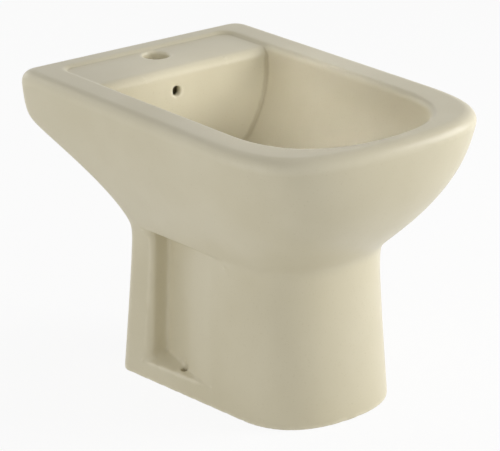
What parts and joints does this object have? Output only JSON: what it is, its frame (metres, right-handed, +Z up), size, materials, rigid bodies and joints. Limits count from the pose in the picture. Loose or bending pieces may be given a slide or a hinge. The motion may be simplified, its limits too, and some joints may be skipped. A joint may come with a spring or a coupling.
{
  "type": "bidet",
  "caption": "Floor standing glazed ceramic bidet with a D-shaped rim, recessed tap deck, deep bowl, push plug waste and bottle trap.",
  "frame": {"origin": "on the floor, under the middle of the rim's box", "axes": "+Z up, front towards -Y, +X to the right seen from the front"},
  "size_m": [0.373, 0.5396, 0.39],
  "materials": {
    "bone_glaze": "gloss glaze",
    "chrome": "polished",
    "brass": "turned",
    "spring_steel": "drawn wire",
    "seal_rubber": "matte",
    "washer_plastic": "satin",
    "trap_plastic": "moulded"
  },
  "bodies": {
    "base": {"ceramic_body": "bone_glaze", "flange_seal": "seal_rubber", "waste_body": "chrome", "under_seal": "seal_rubber", "slip_washer": "washer_plastic", "lock_nut": "brass", "cartridge_housing": "brass", "cartridge_spring": "spring_steel", "inlet_nut": "trap_plastic", "inlet_seal": "seal_rubber", "inlet_tube": "trap_plastic", "neck_nut": "trap_plastic", "neck_seal": "seal_rubber", "trap_body": "trap_plastic", "trap_cup": "trap_plastic", "cup_seal": "seal_rubber", "outlet_nut": "trap_plastic", "outlet_seal": "seal_rubber", "outlet_tube": "trap_plastic"},
    "plug": {"plug_cap": "chrome", "plug_seal": "seal_rubber", "plug_stem": "brass"}
  },
  "joints": [
    {"name": "plug_slide", "type": "slide", "parent": "base", "child": "plug", "axis": [0, 0, 1], "range_m": [-0.008, 0], "stiffness_N_per_m": 900, "springref_m": 0.006, "deforming": ["cartridge_spring"]}
  ]
}
